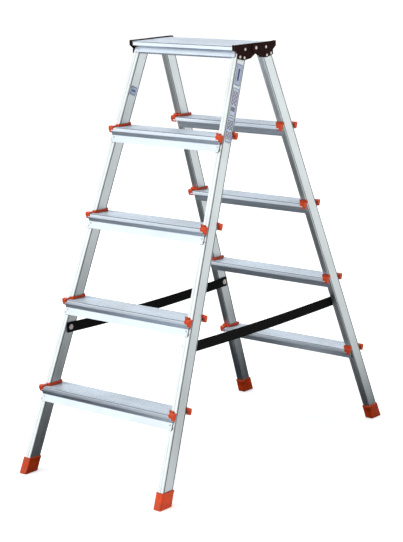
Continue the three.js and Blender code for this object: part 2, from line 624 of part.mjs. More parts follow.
const ladder = new THREE.Group();
ladder.add(makeFrame('front', false), makeFrame('rear', true));
for (const side of [-1, 1]) {
  ladder.add(meshOf(`strap_${sideName(side)}`, mirrorX(makeStrap(), side), webbing));
  ladder.add(meshOf(`hinge_pivot_${sideName(side)}`, mirrorX(makePivot(), side), rivetSteel));
}

export default ladder;
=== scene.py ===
"""Looks of a double-sided step ladder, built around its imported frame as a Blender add-on that runs as a script."""
import math

import bmesh
import bpy
from mathutils import Matrix, Vector


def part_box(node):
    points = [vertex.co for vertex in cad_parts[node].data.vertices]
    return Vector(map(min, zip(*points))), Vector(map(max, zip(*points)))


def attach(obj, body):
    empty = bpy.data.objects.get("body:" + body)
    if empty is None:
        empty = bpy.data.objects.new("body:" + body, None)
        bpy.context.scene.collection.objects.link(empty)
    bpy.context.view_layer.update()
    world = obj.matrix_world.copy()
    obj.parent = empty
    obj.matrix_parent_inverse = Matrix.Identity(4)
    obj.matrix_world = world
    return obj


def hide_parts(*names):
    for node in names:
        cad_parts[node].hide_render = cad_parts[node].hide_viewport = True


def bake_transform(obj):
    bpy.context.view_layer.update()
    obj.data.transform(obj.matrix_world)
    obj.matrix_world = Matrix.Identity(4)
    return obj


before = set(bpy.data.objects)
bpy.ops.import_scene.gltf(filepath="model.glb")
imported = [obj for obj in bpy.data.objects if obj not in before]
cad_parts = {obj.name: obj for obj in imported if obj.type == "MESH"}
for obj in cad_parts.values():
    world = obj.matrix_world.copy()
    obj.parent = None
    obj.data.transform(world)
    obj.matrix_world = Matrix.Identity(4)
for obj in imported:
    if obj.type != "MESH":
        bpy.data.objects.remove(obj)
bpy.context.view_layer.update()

bl_info = {
    "name": "Step ladder",
    "version": (1, 0, 0),
    "blender": (4, 5, 0),
    "location": "View3D > Sidebar > Step ladder",
    "description": "Builds the visible pieces of a double-sided step ladder around its frame",
    "category": "Object",
}

MM = 0.001
SIDES = ("left", "right")
FRAMES = ("front", "rear")
TREADS = sorted({int(name.split("_")[2]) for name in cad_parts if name.startswith("front_tread_")})
UP = Vector((0, 0, 1))
ACROSS = Vector((1, 0, 0))
RIB_DEPTH = 0.9 * MM  # of the valleys between the ribs of a tread
GRAIN = "grain"  # each piece's own coordinates, with z along its length


# ---- Settings ---------------------------------------------------------------------------------------
def length(name, description, default):
    return bpy.props.FloatProperty(
        name=name, description=description, default=default, min=0.0, subtype="DISTANCE", unit="LENGTH"
    )


def colour(name, description, default):
    return bpy.props.FloatVectorProperty(
        name=name, description=description, default=default, min=0.0, max=1.0, size=3, subtype="COLOR"
    )


class LadderSizes(bpy.types.PropertyGroup):
    """Sizes of the fine detail that the frame leaves to the visible pieces."""

    stile_edge: length("Stile edge", "Rounding of the stiles' edges", 0.45 * MM)
    tread_edge: length("Tread edge", "Rounding of the treads' and platforms' edges", 0.3 * MM)
    plate_edge: length("Plate edge", "Rounding of the hinge plates' edges", 0.5 * MM)
    cap_edge: length("Cap edge", "Rounding of the end caps' edges", 0.9 * MM)
    shoe_wall: length("Shoe wall", "How far a shoe stands outside its stile", 3.0 * MM)
    shoe_rib: length("Shoe rib", "Height of one rib round the foot of a shoe", 3.2 * MM)
    tread_rivet: length("Tread rivet", "Radius of a tread rivet's head", 2.6 * MM)
    tread_rivet_head: length("Tread rivet head", "Height of a tread rivet's head", 1.1 * MM)
    webbing_cord: length("Webbing cord", "Width of one cord along the webbing", 1.25 * MM)
    label_thickness: length("Label thickness", "Thickness of the printed labels", 0.16 * MM)


class LadderColours(bpy.types.PropertyGroup):
    """Colours of the ladder's finishes."""

    stile: colour("Stiles", "Drawn aluminium of the stiles", (0.70, 0.745, 0.75))
    tread: colour("Treads", "Ribbed aluminium of the treads and platform", (0.70, 0.78, 0.87))
    plastic: colour("Plastic", "Moulded caps and shoes", (0.88, 0.072, 0.005))
    hinge: colour("Hinge plates", "Coated steel of the hinge plates", (0.014, 0.0028, 0.0022))
    rivet: colour("Rivets", "Bright steel of rivets, pivots and washers", (0.66, 0.61, 0.57))
    webbing: colour("Webbing", "Woven straps", (0.0035, 0.004, 0.0032))
    label: colour("Labels", "Ground of the printed labels", (0.60, 0.68, 0.84))
    floor: colour("Floor", "Studio floor", (0.93, 0.93, 0.93))


class LadderStage(bpy.types.PropertyGroup):
    """Camera and lights."""

    camera_place: bpy.props.FloatVectorProperty(
        name="Camera place", description="Where the camera stands", default=(3.0571, -3.7542, 1.5942),
        subtype="TRANSLATION", unit="LENGTH",
    )
    camera_turn: bpy.props.FloatProperty(
        name="Turn", description="Turn of the view round the upright, from the rear towards the left",
        default=math.radians(39.4), subtype="ANGLE", unit="ROTATION",
    )
    camera_dip: bpy.props.FloatProperty(
        name="Dip", description="Downward tilt of the view", default=math.radians(13.2),
        subtype="ANGLE", unit="ROTATION",
    )
    camera_roll: bpy.props.FloatProperty(
        name="Roll", description="Roll of the view", default=math.radians(-1.06),
        subtype="ANGLE", unit="ROTATION",
    )
    lens: bpy.props.FloatProperty(name="Lens", description="Focal length in millimetres", default=112.1)
    key_power: bpy.props.FloatProperty(
        name="Key light", description="Power of the large light at the front left", default=84.0,
        subtype="POWER", unit="POWER",
    )
    top_power: bpy.props.FloatProperty(
        name="Top light", description="Power of the light overhead", default=22.0,
        subtype="POWER", unit="POWER",
    )


# ---- Shader building --------------------------------------------------------------------------------
def add(tree, kind, inputs=None, **settings):
    """A new node with its settings, its inputs set to a value or linked to a socket."""
    node = tree.nodes.new(kind)
    node.location = (190 * (len(tree.nodes) % 12), -230 * (len(tree.nodes) // 12))
    for key, value in settings.items():
        setattr(node, key, value)
    for key, value in (inputs or {}).items():
        if isinstance(value, bpy.types.NodeSocket):
            tree.links.new(value, node.inputs[key])
        else:
            node.inputs[key].default_value = value
    return node


def maths(tree, operation, first, second=0.5, third=None):
    values = {0: first, 1: second}
    if third is not None:
        values[2] = third
    return add(tree, "ShaderNodeMath", values, operation=operation).outputs[0]


def spread(tree, value, low, high, to_low=0.0, to_high=1.0):
    """value stretched from low..high to to_low..to_high, held at the ends."""
    limits = {"Value": value, "From Min": low, "From Max": high, "To Min": to_low, "To Max": to_high}
    return add(tree, "ShaderNodeMapRange", limits, interpolation_type="SMOOTHSTEP").outputs["Result"]


def mixed(tree, factor, first, second, blend="MIX"):
    """A colour mixed from two colours or sockets."""
    node = add(tree, "ShaderNodeMix", data_type="RGBA", blend_type=blend)
    for key, value in ((0, factor), (6, first), (7, second)):
        if isinstance(value, bpy.types.NodeSocket):
            tree.links.new(value, node.inputs[key])
        elif key == 0:
            node.inputs[key].default_value = value
        else:
            node.inputs[key].default_value = (*value[:3], 1.0)
    return node.outputs[2]


def scaled(vector, factor):
    return tuple(min(1.0, part * factor) for part in vector)


def effect(name, inputs, outputs, wire):
    """A shared effect: a node group with named sockets, built once. wire(tree, sockets in) gives the sockets out."""
    made = bpy.data.node_groups.get(name)
    if made:
        return made
    made = bpy.data.node_groups.new(name, "ShaderNodeTree")
    kinds = {"Vector": "NodeSocketVector", "Normal": "NodeSocketVector", "Colour": "NodeSocketColor"}
    for key, value in inputs.items():
        kind = kinds.get(key, "NodeSocketFloat")
        socket = made.interface.new_socket(name=key, in_out="INPUT", socket_type=kind)
        if value is not None:
            socket.default_value = value
    for key in outputs:
        made.interface.new_socket(name=key, in_out="OUTPUT", socket_type=kinds.get(key, "NodeSocketFloat"))
    entry = made.nodes.new("NodeGroupInput")
    leave = made.nodes.new("NodeGroupOutput")
    for key, socket in zip(outputs, wire(made, entry.outputs)):
        made.links.new(socket, leave.inputs[key])
    return made


def use(tree, group, **inputs):
    node = add(tree, "ShaderNodeGroup", node_tree=group)
    for key, value in inputs.items():
        name = key.replace("_", " ")
        if isinstance(value, bpy.types.NodeSocket):
            tree.links.new(value, node.inputs[name])
        else:
            node.inputs[name].default_value = value
    return node.outputs


def drawn_grain():
    """Fine lines along a drawn or brushed metal piece."""
    def wire(tree, given):
        stretched = maths(tree, "DIVIDE", given["Fineness"], given["Stretch"])
        scale = add(tree, "ShaderNodeCombineXYZ", {0: given["Fineness"], 1: given["Fineness"], 2: stretched})
        place = add(tree, "ShaderNodeVectorMath", {0: given["Vector"], 1: scale.outputs[0]}, operation="MULTIPLY")
        lines = add(tree, "ShaderNodeTexNoise", {"Vector": place.outputs[0], "Scale": 1.0, "Detail": 4.0})
        broad = add(tree, "ShaderNodeTexNoise", {"Vector": place.outputs[0], "Scale": 0.13, "Detail": 2.0})
        streaks = maths(tree, "ADD", maths(tree, "MULTIPLY", lines.outputs[0], 0.65),
                        maths(tree, "MULTIPLY", broad.outputs[0], 0.35))
        return spread(tree, streaks, 0.3, 0.7), lines.outputs[0]

    return effect("Drawn grain", {"Vector": None, "Fineness": 900.0, "Stretch": 60.0}, ("Streaks", "Height"), wire)


def edge_wear():
    """Rubbed edges, broken up by a fine pattern."""
    def wire(tree, given):
        rounded = add(tree, "ShaderNodeBevel", {"Radius": given["Radius"]}, samples=4)
        flat = add(tree, "ShaderNodeNewGeometry")
        both = {0: rounded.outputs[0], 1: flat.outputs["Normal"]}
        same = add(tree, "ShaderNodeVectorMath", both, operation="DOT_PRODUCT").outputs["Value"]
        place = add(tree, "ShaderNodeTexCoord").outputs["Object"]
        breaks = add(tree, "ShaderNodeTexNoise", {"Vector": place, "Scale": given["Breaks"], "Detail": 5.0})
        edge = spread(tree, same, 0.995, 0.88)
        worn = maths(tree, "MULTIPLY", edge, spread(tree, breaks.outputs[0], 0.38, 0.62))
        return (maths(tree, "MULTIPLY", worn, given["Amount"]),)

    return effect("Edge wear", {"Radius": 0.0008, "Amount": 0.6, "Breaks": 160.0}, ("Mask",), wire)


def dust():
    """Smudges everywhere and a little more dust on what faces up."""
    def wire(tree, given):
        place = add(tree, "ShaderNodeTexCoord").outputs["Object"]
        cloud = add(tree, "ShaderNodeTexNoise", {"Vector": place, "Scale": given["Scale"], "Detail": 6.0})
        fine = add(tree, "ShaderNodeTexNoise", {"Vector": place, "Scale": 420.0, "Detail": 3.0})
        facing = add(tree, "ShaderNodeSeparateXYZ", {0: add(tree, "ShaderNodeNewGeometry").outputs["Normal"]})
        upward = spread(tree, facing.outputs["Z"], 0.2, 1.0, 0.55, 1.0)
        patches = spread(tree, cloud.outputs[0], 0.42, 0.72)
        grains = spread(tree, fine.outputs[0], 0.45, 0.65, 0.5, 1.0)
        mask = maths(tree, "MULTIPLY", maths(tree, "MULTIPLY", patches, grains), upward)
        return (maths(tree, "MULTIPLY", mask, given["Amount"]),)

    return effect("Dust", {"Scale": 14.0, "Amount": 0.4}, ("Mask",), wire)


def painted_corner_shade():
    """Painted shade: darkening in grooves and tight corners, where nearby surfaces hide the light."""
    def wire(tree, given):
        corner = add(tree, "ShaderNodeAmbientOcclusion", {"Distance": given["Reach"]}, samples=6)
        place = add(tree, "ShaderNodeTexCoord").outputs["Object"]
        breaks = add(tree, "ShaderNodeTexNoise", {"Vector": place, "Scale": 75.0, "Detail": 4.0})
        closed = spread(tree, corner.outputs["AO"], 0.92, 0.3)
        uneven = spread(tree, breaks.outputs[0], 0.25, 0.6, 0.7, 1.0)
        return (maths(tree, "MULTIPLY", maths(tree, "MULTIPLY", closed, uneven), given["Amount"]),)

    return effect("Painted corner shade", {"Reach": 0.003, "Amount": 0.7}, ("Mask",), wire)


def painted_groove_shade():
    """Painted shade in the grooves in the sides of a box tube, and a faint line down the middle of its narrow faces."""
    def wire(tree, given):
        parts = add(tree, "ShaderNodeSeparateXYZ", {0: given["Vector"]})
        aside = maths(tree, "ABSOLUTE", parts.outputs["X"])
        ahead = maths(tree, "ABSOLUTE", parts.outputs["Y"])
        half = maths(tree, "MULTIPLY", given["Width"], 0.5)
        gap = maths(tree, "ABSOLUTE", maths(tree, "SUBTRACT", ahead, given["Offset"]))
        groove = maths(tree, "MULTIPLY", maths(tree, "LESS_THAN", gap, half),
                       maths(tree, "LESS_THAN", aside, given["Surface"]))
        middle = maths(tree, "MULTIPLY", maths(tree, "LESS_THAN", aside, half),
                       maths(tree, "GREATER_THAN", ahead, given["Face"]))
        worn = add(tree, "ShaderNodeTexNoise", {"Vector": given["Vector"], "Scale": 22.0, "Detail": 3.0})
        uneven = spread(tree, worn.outputs[0], 0.3, 0.6, 0.6, 1.0)
        lines = maths(tree, "MAXIMUM", groove, maths(tree, "MULTIPLY", middle, given["Faintness"]))
        return (maths(tree, "MULTIPLY", lines, uneven),)

    given = {"Vector": None, "Offset": 0.0168, "Width": 0.0024, "Surface": 0.0097, "Face": 0.019, "Faintness": 0.3}
    return effect("Painted groove shade", given, ("Mask",), wire)


def painted_valley_shade():
    """Painted shade in the shallow valleys between ribs, from the depth below their crests (Y of the piece's own
    place).
    """
    def wire(tree, given):
        depth = maths(tree, "MULTIPLY", add(tree, "ShaderNodeSeparateXYZ", {0: given["Vector"]}).outputs["Y"], -1.0)
        sunk = add(tree, "ShaderNodeMapRange", {
            "Value": depth, "From Min": maths(tree, "MULTIPLY", given["Depth"], 0.3), "From Max": given["Depth"],
        })
        shallow = maths(tree, "LESS_THAN", depth, maths(tree, "MULTIPLY", given["Depth"], 2.2))
        return (maths(tree, "MULTIPLY", sunk.outputs[0], shallow),)

    return effect("Painted valley shade", {"Vector": None, "Depth": 0.001}, ("Mask",), wire)


def moulded_skin():
    """The fine, slightly uneven skin of moulded plastic or powder coat."""
    def wire(tree, given):
        place = add(tree, "ShaderNodeTexCoord").outputs["Object"]
        pores = add(tree, "ShaderNodeTexVoronoi", {"Vector": place, "Scale": given["Scale"]})
        waves = add(tree, "ShaderNodeTexNoise", {"Vector": place, "Scale": 55.0, "Detail": 2.0})
        height = maths(tree, "ADD", maths(tree, "MULTIPLY", pores.outputs["Distance"], 0.7), waves.outputs[0])
        return height, spread(tree, waves.outputs[0], 0.35, 0.65)

    return effect("Moulded skin", {"Scale": 900.0}, ("Height", "Tint"), wire)


def weave():
    """Twill threads across the cords of a woven strap."""
    def wire(tree, given):
        parts = add(tree, "ShaderNodeSeparateXYZ", {0: given["Vector"]})
        turns = maths(tree, "DIVIDE", 2 * math.pi, given["Pitch"])
        slant = maths(tree, "ADD", parts.outputs["Z"], maths(tree, "MULTIPLY", parts.outputs["Y"], 0.8))
        weft = maths(tree, "SINE", maths(tree, "MULTIPLY", slant, turns))
        fibre_place = add(tree, "ShaderNodeVectorMath", {0: given["Vector"], 1: (1.0, 9.0, 1.0)}, operation="MULTIPLY")
        fibres = add(tree, "ShaderNodeTexNoise", {"Vector": fibre_place.outputs[0], "Scale": 700.0, "Detail": 3.0})
        height = maths(tree, "ADD", maths(tree, "MULTIPLY", weft, 0.5), fibres.outputs[0])
        return height, spread(tree, height, -0.1, 1.2)

    return effect("Weave", {"Vector": None, "Pitch": 0.0021}, ("Height", "Threads"), wire)


def own_place(tree):
    """The piece's own coordinates, z along its length."""
    return add(tree, "ShaderNodeAttribute", attribute_type="GEOMETRY", attribute_name=GRAIN).outputs["Vector"]


def fresh_material(name):
    """An empty material with its shader: (material, node tree, Principled BSDF), or (material, None, None) if made."""
    made = bpy.data.materials.get(name)
    if made:
        return made, None, None
    made = bpy.data.materials.new(name)
    made.use_nodes = True
    tree = made.node_tree
    tree.nodes.clear()
    shader = tree.nodes.new("ShaderNodeBsdfPrincipled")
    output = tree.nodes.new("ShaderNodeOutputMaterial")
    shader.location = (2500, 0)
    output.location = (2800, 0)
    tree.links.new(shader.outputs[0], output.inputs["Surface"])
    return made, tree, shader


def bump(tree, shader, height, distance, strength=1.0):
    made = add(tree, "ShaderNodeBump", {"Height": height, "Distance": distance, "Strength": strength})
    tree.links.new(made.outputs[0], shader.inputs["Normal"])


def drawn_metal(name, tint, fineness, smooth, rough, worn_tint, corner_shade_reach, shading, **shape):
    """Aluminium with grain along its length, rubbed edges, light dust, and painted shade in its grooves and tight
    corners.
    """
    made, tree, shader = fresh_material(name)
    if tree is None:
        return made
    grain = use(tree, drawn_grain(), Vector=own_place(tree), Fineness=fineness)
    wear = use(tree, edge_wear(), Radius=0.9 * MM, Amount=0.55)["Mask"]
    film = use(tree, dust(), Scale=9.0, Amount=0.35)["Mask"]
    streaked = mixed(tree, grain["Streaks"], scaled(tint, 0.9), scaled(tint, 1.06))
    rubbed = mixed(tree, wear, streaked, worn_tint)
    dusty = mixed(tree, film, rubbed, (0.52, 0.51, 0.48))
    # Painted shade: the grooves or rib valleys that the shading effect marks are darkened towards a dark blue-grey.
    groove_shade_mask = use(tree, shading(), Vector=own_place(tree), **shape)["Mask"]
    groove_shaded = mixed(tree, maths(tree, "MULTIPLY", groove_shade_mask, 0.8), dusty, (0.05, 0.065, 0.08))
    # Painted shade: grooves and tight corners darkened towards near black.
    shade_in_corners = use(tree, painted_corner_shade(), Reach=corner_shade_reach, Amount=0.85)["Mask"]
    tree.links.new(mixed(tree, shade_in_corners, groove_shaded, (0.035, 0.04, 0.045)), shader.inputs["Base Color"])
    sheen = spread(tree, grain["Streaks"], 0.0, 1.0, smooth, rough)
    dulled = maths(tree, "ADD", sheen, maths(tree, "MULTIPLY", film, 0.18))
    tree.links.new(dulled, shader.inputs["Roughness"])
    bump(tree, shader, grain["Height"], 0.03 * MM, 0.5)
    shader.inputs["Metallic"].default_value = 1.0
    shader.inputs["Anisotropic"].default_value = 0.25
    return made


def stile_metal(context):
    tint = context.scene.ladder_colours.stile
    return drawn_metal("stile_aluminium", tint, 1100.0, 0.34, 0.44, (0.86, 0.88, 0.88), 4 * MM,
                       painted_groove_shade, Offset=16.8 * MM, Width=3.4 * MM, Surface=10.5 * MM)


def tread_metal(context):
    tint = context.scene.ladder_colours.tread
    return drawn_metal("tread_aluminium", tint, 1300.0, 0.38, 0.5, (0.9, 0.93, 0.96), 3 * MM,
                       painted_valley_shade, Depth=RIB_DEPTH)


def cap_plastic(context):
    """Orange-red moulded plastic with a fine skin, paler where it is rubbed, with painted shade in its tight corners.
    """
    made, tree, shader = fresh_material("cap_plastic")
    if tree is None:
        return made
    tint = context.scene.ladder_colours.plastic
    skin = use(tree, moulded_skin(), Scale=1100.0)
    wear = use(tree, edge_wear(), Radius=1.2 * MM, Amount=0.45, Breaks=210.0)["Mask"]
    film = use(tree, dust(), Scale=30.0, Amount=0.1)["Mask"]
    # Painted shade: tight corners darkened towards a deep red-brown.
    shade_in_corners = use(tree, painted_corner_shade(), Reach=2.5 * MM, Amount=0.45)["Mask"]
    body = mixed(tree, skin["Tint"], scaled(tint, 0.86), scaled(tint, 1.08))
    rubbed = mixed(tree, wear, body, (0.95, 0.27, 0.11))
    dusty = mixed(tree, film, rubbed, (0.5, 0.2, 0.12))
    tree.links.new(mixed(tree, shade_in_corners, dusty, (0.12, 0.012, 0.004)), shader.inputs["Base Color"])
    shader.inputs["Specular IOR Level"].default_value = 0.35
    tree.links.new(spread(tree, skin["Tint"], 0.0, 1.0, 0.36, 0.5), shader.inputs["Roughness"])
    bump(tree, shader, skin["Height"], 0.05 * MM, 0.6)
    shader.inputs["Subsurface Weight"].default_value = 0.08
    shader.inputs["Subsurface Scale"].default_value = 2 * MM
    return made


def hinge_coat(context):
    """Dark brown powder coat, rubbed to steel along its edges."""
    made, tree, shader = fresh_material("hinge_coat")
    if tree is None:
        return made
    tint = context.scene.ladder_colours.hinge
    skin = use(tree, moulded_skin(), Scale=1500.0)
    wear = use(tree, edge_wear(), Radius=0.9 * MM, Amount=0.75, Breaks=240.0)["Mask"]
    film = use(tree, dust(), Scale=22.0, Amount=0.15)["Mask"]
    coat = mixed(tree, skin["Tint"], scaled(tint, 0.8), scaled(tint, 1.5))
    dusty = mixed(tree, film, coat, (0.03, 0.007, 0.006))
    rubbed = mixed(tree, wear, dusty, (0.34, 0.29, 0.26))
    tree.links.new(rubbed, shader.inputs["Base Color"])
    tree.links.new(spread(tree, wear, 0.0, 1.0, 0.0, 0.8), shader.inputs["Metallic"])
    tree.links.new(spread(tree, skin["Tint"], 0.0, 1.0, 0.42, 0.56), shader.inputs["Roughness"])
    bump(tree, shader, skin["Height"], 0.07 * MM, 0.7)
    shader.inputs["Specular IOR Level"].default_value = 0.07
    shader.inputs["Specular Tint"].default_value = (1.0, 0.3, 0.25, 1.0)
    return made


def rivet_steel(context):
    """Plain bright steel with a turned face and some tarnish."""
    made, tree, shader = fresh_material("rivet_steel")
    if tree is None:
        return made
    tint = context.scene.ladder_colours.rivet
    grain = use(tree, drawn_grain(), Vector=own_place(tree), Fineness=2600.0, Stretch=3.0)
    wear = use(tree, edge_wear(), Radius=0.5 * MM, Amount=0.5, Breaks=400.0)["Mask"]
    film = use(tree, dust(), Scale=120.0, Amount=0.5)["Mask"]
    body = mixed(tree, grain["Streaks"], scaled(tint, 0.82), scaled(tint, 1.1))
    dull = mixed(tree, film, body, (0.3, 0.25, 0.21))
    tree.links.new(mixed(tree, wear, dull, (0.88, 0.86, 0.84)), shader.inputs["Base Color"])
    tree.links.new(spread(tree, grain["Streaks"], 0.0, 1.0, 0.26, 0.42), shader.inputs["Roughness"])
    bump(tree, shader, grain["Height"], 0.02 * MM, 0.4)
    shader.inputs["Metallic"].default_value = 1.0
    return made


def strap_webbing(context):
    """Black woven webbing with a soft sheen, fluffed and dusty in places."""
    made, tree, shader = fresh_material("strap_webbing")
    if tree is None:
        return made
    tint = context.scene.ladder_colours.webbing
    threads = use(tree, weave(), Vector=own_place(tree))
    film = use(tree, dust(), Scale=26.0, Amount=0.22)["Mask"]
    cloth = mixed(tree, threads["Threads"], scaled(tint, 0.55), scaled(tint, 1.9))
    tree.links.new(mixed(tree, film, cloth, (0.03, 0.03, 0.028)), shader.inputs["Base Color"])
    tree.links.new(spread(tree, threads["Threads"], 0.0, 1.0, 0.95, 0.8), shader.inputs["Roughness"])
    bump(tree, shader, threads["Height"], 0.16 * MM, 0.9)
    shader.inputs["Specular IOR Level"].default_value = 0.12
    shader.inputs["Sheen Weight"].default_value = 0.02
    shader.inputs["Sheen Roughness"].default_value = 0.5
    return made


def within(tree, value, middle, half):
    """1 where value is nearer to middle than half, 0 elsewhere."""
    away = maths(tree, "ABSOLUTE", maths(tree, "SUBTRACT", value, middle))
    return maths(tree, "LESS_THAN", away, half)


def hatching(tree, along, across, pitch):
    """Crossed slanting lines, as 1 on a line and 0 between them."""
    turns = 2 * math.pi / pitch
    lines = []
    for slope in (1.0, -1.0):
        slant = maths(tree, "ADD", along, maths(tree, "MULTIPLY", across, slope))
        wave = maths(tree, "SINE", maths(tree, "MULTIPLY", slant, turns))
        lines.append(maths(tree, "GREATER_THAN", wave, 0.35))
    return maths(tree, "MAXIMUM", lines[0], lines[1])


def label_print(name, tint, fields, half_length, half_depth):
    """A pale printed label with an outline and plain fields in place of words, scuffed at its edges."""
    made, tree, shader = fresh_material(name)
    if tree is None:
        return made
    parts = add(tree, "ShaderNodeSeparateXYZ", {0: own_place(tree)})
    along, across = parts.outputs["Z"], parts.outputs["Y"]
    skin = use(tree, moulded_skin(), Scale=700.0)
    wear = use(tree, edge_wear(), Radius=0.7 * MM, Amount=0.6, Breaks=300.0)["Mask"]
    film = use(tree, dust(), Scale=40.0, Amount=0.25)["Mask"]
    ground = mixed(tree, skin["Tint"], scaled(tint, 0.94), scaled(tint, 1.04))
    rim = 1.5 * MM
    inside = maths(tree, "MULTIPLY", within(tree, along, 0.0, half_length - 2 * rim),
                   within(tree, across, 0.0, half_depth - 2 * rim))
    panel = maths(tree, "MULTIPLY", within(tree, along, 0.0, half_length - rim),
                  within(tree, across, 0.0, half_depth - rim))
    outline = maths(tree, "SUBTRACT", panel, inside)
    ground = mixed(tree, outline, ground, OUTLINE_INK)
    for middle, half, width, ink, is_hatched in fields:
        field = maths(tree, "MULTIPLY", within(tree, along, middle, half), within(tree, across, 0.0, width))
        if is_hatched:
            field = maths(tree, "MULTIPLY", field, hatching(tree, along, across, 11 * MM))
        ground = mixed(tree, field, ground, ink)
    scuffed = mixed(tree, wear, ground, (0.82, 0.83, 0.84))
    tree.links.new(mixed(tree, film, scuffed, (0.5, 0.49, 0.47)), shader.inputs["Base Color"])
    tree.links.new(spread(tree, skin["Tint"], 0.0, 1.0, 0.42, 0.55), shader.inputs["Roughness"])
    bump(tree, shader, skin["Height"], 0.02 * MM, 0.4)
    shader.inputs["Specular IOR Level"].default_value = 0.25
    return made


def studio_floor(context):
    """A pale matt floor, glowing evenly for the camera. The ladder mirrors a darker one, as the inner faces of its
    metal show: for other rays the floor is darker, glows a little, and holds painted shade, dark strips and a patch
    near the ladder.
    """
    made, tree, shader = fresh_material("studio_floor")
    if tree is None:
        return made
    tint = context.scene.ladder_colours.floor
    place = add(tree, "ShaderNodeTexCoord").outputs["Object"]
    cloud = add(tree, "ShaderNodeTexNoise", {"Vector": place, "Scale": 1.7, "Detail": 5.0})
    grit = add(tree, "ShaderNodeTexNoise", {"Vector": place, "Scale": 260.0, "Detail": 2.0})
    pale = mixed(tree, cloud.outputs[0], scaled(tint, 0.985), scaled(tint, 1.0))
    across = add(tree, "ShaderNodeVectorMath", {0: place, 1: (0.775, -0.632, 0.0)}, operation="DOT_PRODUCT")
    onward = add(tree, "ShaderNodeVectorMath", {0: place, 1: (0.632, 0.775, 0.0)}, operation="DOT_PRODUCT")
    # Painted shade for reflections: two dark strips along the ladder and a dark patch beside it.
    shade_strips = [
        spread(tree, maths(tree, "ABSOLUTE", maths(tree, "SUBTRACT", across.outputs["Value"], spot)), 0.38, 0.2)
        for spot in (0.1, -0.55)
    ]
    near = spread(tree, onward.outputs["Value"], 1.9, 0.7)
    beside = add(tree, "ShaderNodeVectorMath", {0: place, 1: (-0.8, -0.35, 0.0)}, operation="DISTANCE")
    shade_patch = spread(tree, beside.outputs["Value"], 1.25, 0.55, 0.0, 0.8)
    painted_shade = maths(tree, "MAXIMUM", maths(tree, "MULTIPLY", maths(tree, "MAXIMUM", *shade_strips), near), shade_patch)
    mirrored = mixed(tree, painted_shade, scaled(tint, 0.72), (0.022, 0.03, 0.042))
    seen = add(tree, "ShaderNodeLightPath").outputs["Is Camera Ray"]
    tree.links.new(mixed(tree, seen, mirrored, pale), shader.inputs["Base Color"])
    # The floor glows: evenly for the camera, and as a faint fill light for other rays outside the painted shade.
    glow = mixed(tree, painted_shade, scaled(tint, 0.42), (0.0, 0.0, 0.0))
    tree.links.new(mixed(tree, seen, glow, scaled(tint, 0.55)), shader.inputs["Emission Color"])
    shader.inputs["Emission Strength"].default_value = 1.0
    tree.links.new(spread(tree, grit.outputs[0], 0.3, 0.7, 0.75, 0.9), shader.inputs["Roughness"])
    bump(tree, shader, grit.outputs[0], 0.1 * MM, 0.2)
    shader.inputs["Specular IOR Level"].default_value = 0.1
    return made


# ---- Mesh helpers -----------------------------------------------------------------------------------
def piece_of(name, points, faces):
    mesh = bpy.data.meshes.new(name)
    mesh.from_pydata([tuple(point) for point in points], [], faces)
    mesh.validate()
    made = bpy.data.objects.new(name, mesh)
    bpy.context.scene.collection.objects.link(made)
    return made


def facing_out(piece):
    """Turns every face of a closed piece outwards."""
    work = bmesh.new()
    work.from_mesh(piece.data)
    bmesh.ops.recalc_face_normals(work, faces=work.faces)
    work.to_mesh(piece.data)
    work.free()


def settle(piece, material, along, middle=None, sharp=math.radians(32), facing=None):
    """Applies the modifiers, lays the grain along the piece, and smooths and paints it."""
    bpy.context.view_layer.update()
    shown = piece.evaluated_get(bpy.context.evaluated_depsgraph_get())
    mesh = bpy.data.meshes.new_from_object(shown)
    piece.modifiers.clear()
    piece.data = mesh
    mesh.name = piece.name
    turn = along.to_track_quat("Z", "Y").to_matrix().inverted()
    if facing:
        turn = Matrix((facing.cross(along), facing, along))
    start = middle or sum((corner.co for corner in mesh.vertices), Vector()) / len(mesh.vertices)
    grain = mesh.attributes.new(GRAIN, "FLOAT_VECTOR", "POINT")
    values = [part for corner in mesh.vertices for part in turn @ (corner.co - start)]
    grain.data.foreach_set("vector", values)
    mesh.materials.clear()
    mesh.materials.append(material)
    mesh.shade_smooth()
    mesh.set_sharp_from_angle(angle=sharp)
    return piece


def body_name(frame_name):
    return f"{frame_name}_frame"


def frame_of(node_name):
    return "rear" if node_name.startswith("rear") else "front"


def join_frame(piece, slot_name, body, *nodes):
    """The piece moves with its body and stands for its nodes. The slot name is not used."""
    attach(piece, body)
    if nodes:
        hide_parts(*nodes)
    return piece


def refined(node_name, edge, segments=2):
    """The node's shape as a clean mesh of flat faces with rounded edges."""
    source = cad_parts[node_name].data
    made = piece_of(
        node_name + "_shape",
        [corner.co for corner in source.vertices],
        [tuple(face.vertices) for face in source.polygons],
    )
    work = bmesh.new()
    work.from_mesh(made.data)
    bmesh.ops.remove_doubles(work, verts=work.verts, dist=0.01 * MM)
    bmesh.ops.dissolve_limit(work, angle_limit=math.radians(1.2), verts=work.verts, edges=work.edges)
    bmesh.ops.recalc_face_normals(work, faces=work.faces)
    work.to_mesh(made.data)
    work.free()
    rounding = made.modifiers.new("round_edges", "BEVEL")
    rounding.limit_method = "ANGLE"
    rounding.angle_limit = math.radians(26)
    rounding.width = edge
    rounding.segments = segments
    rounding.use_clamp_overlap = True
    rounding.miter_outer = "MITER_ARC"
    made.data.shade_smooth()
    flatten = made.modifiers.new("flat_faces", "WEIGHTED_NORMAL")
    flatten.weight = 80
    return made


